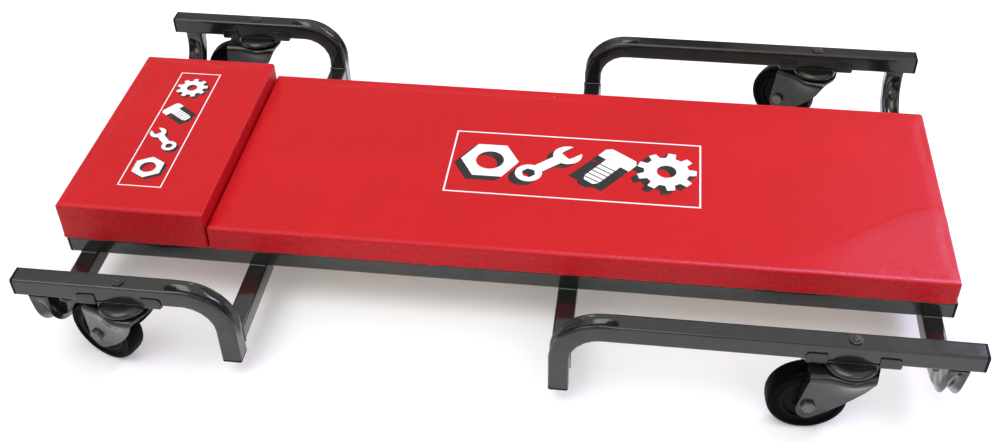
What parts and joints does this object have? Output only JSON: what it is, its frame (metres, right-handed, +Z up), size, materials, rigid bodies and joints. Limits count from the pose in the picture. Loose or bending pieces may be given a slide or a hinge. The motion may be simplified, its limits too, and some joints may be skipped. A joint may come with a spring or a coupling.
{
  "type": "mechanics creeper",
  "caption": "Low padded creeper board with raised headrest on a square-tube frame, outrigger arms and swivel casters.",
  "frame": {"origin": "floor plane under the middle of the frame, midway between the outriggers", "axes": "+X towards the foot end, +Y towards the left of a user lying face up with the head on the headrest, +Z up"},
  "size_m": [0.9186, 0.5517, 0.1163],
  "materials": {
    "frame_paint": "dark gunmetal, glossy",
    "stamped_paint": "dark grey, semi-gloss",
    "bolt_steel": "dark zinc, satin",
    "bright_steel": "bright",
    "cap_black": "moulded, satin",
    "wheel_rubber": "hard, satin",
    "wheel_core": "moulded, satin",
    "vinyl_red": "coated vinyl, fine grain",
    "foam": "open-cell foam",
    "plywood": "bare"
  },
  "bodies": {
    "frame": {"arm_end_caps": "cap_black", "arm_foot_left": "frame_paint", "arm_foot_right": "frame_paint", "arm_head_left": "frame_paint", "arm_head_right": "frame_paint", "bed_board": "plywood", "bed_cover": "vinyl_red", "bed_foam": "foam", "crosstube_foot": "frame_paint", "crosstube_head": "frame_paint", "crosstube_inner_foot": "frame_paint", "crosstube_inner_head": "frame_paint", "headrest_board": "plywood", "headrest_cover": "vinyl_red", "headrest_foam": "foam", "kingpin_bolts": "bolt_steel", "kingpin_nuts": "bolt_steel", "leg_end_caps": "cap_black", "pad_screws": "bolt_steel", "pad_staples": "bright_steel", "rail_end_caps": "cap_black", "rail_left": "frame_paint", "rail_right": "frame_paint", "saddle_foot_left": "stamped_paint", "saddle_foot_right": "stamped_paint", "saddle_head_left": "stamped_paint", "saddle_head_right": "stamped_paint"},
    "swivel_head_right": {"fork_head_right": "stamped_paint", "ball_ring_head_right": "bright_steel", "axle_bolt_head_right": "bolt_steel", "axle_nut_head_right": "bolt_steel"},
    "wheel_head_right": {"wheel_tread_head_right": "wheel_rubber", "wheel_core_head_right": "wheel_core", "wheel_bushing_head_right": "bright_steel"},
    "swivel_head_left": {"fork_head_left": "stamped_paint", "ball_ring_head_left": "bright_steel", "axle_bolt_head_left": "bolt_steel", "axle_nut_head_left": "bolt_steel"},
    "wheel_head_left": {"wheel_tread_head_left": "wheel_rubber", "wheel_core_head_left": "wheel_core", "wheel_bushing_head_left": "bright_steel"},
    "swivel_foot_right": {"fork_foot_right": "stamped_paint", "ball_ring_foot_right": "bright_steel", "axle_bolt_foot_right": "bolt_steel", "axle_nut_foot_right": "bolt_steel"},
    "wheel_foot_right": {"wheel_tread_foot_right": "wheel_rubber", "wheel_core_foot_right": "wheel_core", "wheel_bushing_foot_right": "bright_steel"},
    "swivel_foot_left": {"fork_foot_left": "stamped_paint", "ball_ring_foot_left": "bright_steel", "axle_bolt_foot_left": "bolt_steel", "axle_nut_foot_left": "bolt_steel"},
    "wheel_foot_left": {"wheel_tread_foot_left": "wheel_rubber", "wheel_core_foot_left": "wheel_core", "wheel_bushing_foot_left": "bright_steel"}
  },
  "joints": [
    {"name": "swivel_head_right", "type": "hinge", "parent": "frame", "child": "swivel_head_right", "pos_m": [-0.3526, -0.241, 0.0808], "axis": [0, 0, 1], "continuous": true},
    {"name": "roll_head_right", "type": "hinge", "parent": "swivel_head_right", "child": "wheel_head_right", "pos_m": [-0.38465, -0.22965, 0.0381], "axis": [0.3338, 0.9426, 0], "continuous": true},
    {"name": "swivel_head_left", "type": "hinge", "parent": "frame", "child": "swivel_head_left", "pos_m": [-0.3526, 0.241, 0.0808], "axis": [0, 0, 1], "continuous": true},
    {"name": "roll_head_left", "type": "hinge", "parent": "swivel_head_left", "child": "wheel_head_left", "pos_m": [-0.3866, 0.24041, 0.0381], "axis": [-0.0175, 0.9998, 0], "continuous": true},
    {"name": "swivel_foot_right", "type": "hinge", "parent": "frame", "child": "swivel_foot_right", "pos_m": [0.3424, -0.241, 0.0808], "axis": [0, 0, 1], "continuous": true},
    {"name": "roll_foot_right", "type": "hinge", "parent": "swivel_foot_right", "child": "wheel_foot_right", "pos_m": [0.30846, -0.24308, 0.0381], "axis": [-0.061, 0.9981, 0], "continuous": true},
    {"name": "swivel_foot_left", "type": "hinge", "parent": "frame", "child": "swivel_foot_left", "pos_m": [0.3424, 0.241, 0.0808], "axis": [0, 0, 1], "continuous": true},
    {"name": "roll_foot_left", "type": "hinge", "parent": "swivel_foot_left", "child": "wheel_foot_left", "pos_m": [0.31238, 0.25696, 0.0381], "axis": [0.4695, 0.8829, 0], "continuous": true}
  ]
}
